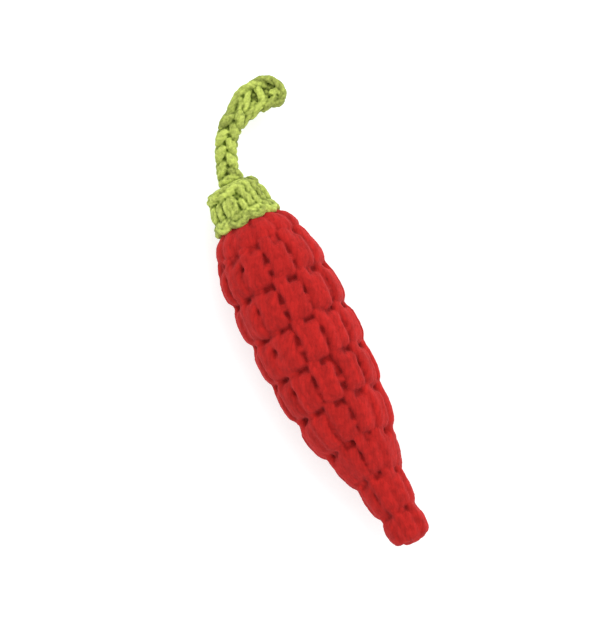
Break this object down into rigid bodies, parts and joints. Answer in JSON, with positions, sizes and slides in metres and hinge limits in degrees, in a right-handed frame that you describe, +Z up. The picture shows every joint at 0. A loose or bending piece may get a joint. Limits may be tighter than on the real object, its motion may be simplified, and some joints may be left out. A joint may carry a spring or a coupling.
{
  "type": "crocheted chili pepper",
  "caption": "Crocheted stuffed chili pepper in thick red yarn, with a green crocheted cap and a green cord stem that hooks to one side. It lies on its underside.",
  "frame": {"origin": "middle of the flat stretch of the underside that it rests on", "axes": "+Y along the pepper from the blunt tip to the stem, +X to the side that the stem hooks to, +Z up"},
  "size_m": [0.0386, 0.1268, 0.0239],
  "materials": {
    "red_yarn": "matt plied yarn, crocheted in short thick stitches",
    "green_yarn": "matt plied yarn, crocheted in short thick stitches",
    "fibre_filling": "loose matt fibre"
  },
  "bodies": {
    "root": {"body_cover": "red_yarn", "body_filling": "fibre_filling", "cap": "green_yarn", "stem": "green_yarn"}
  },
  "joints": []
}
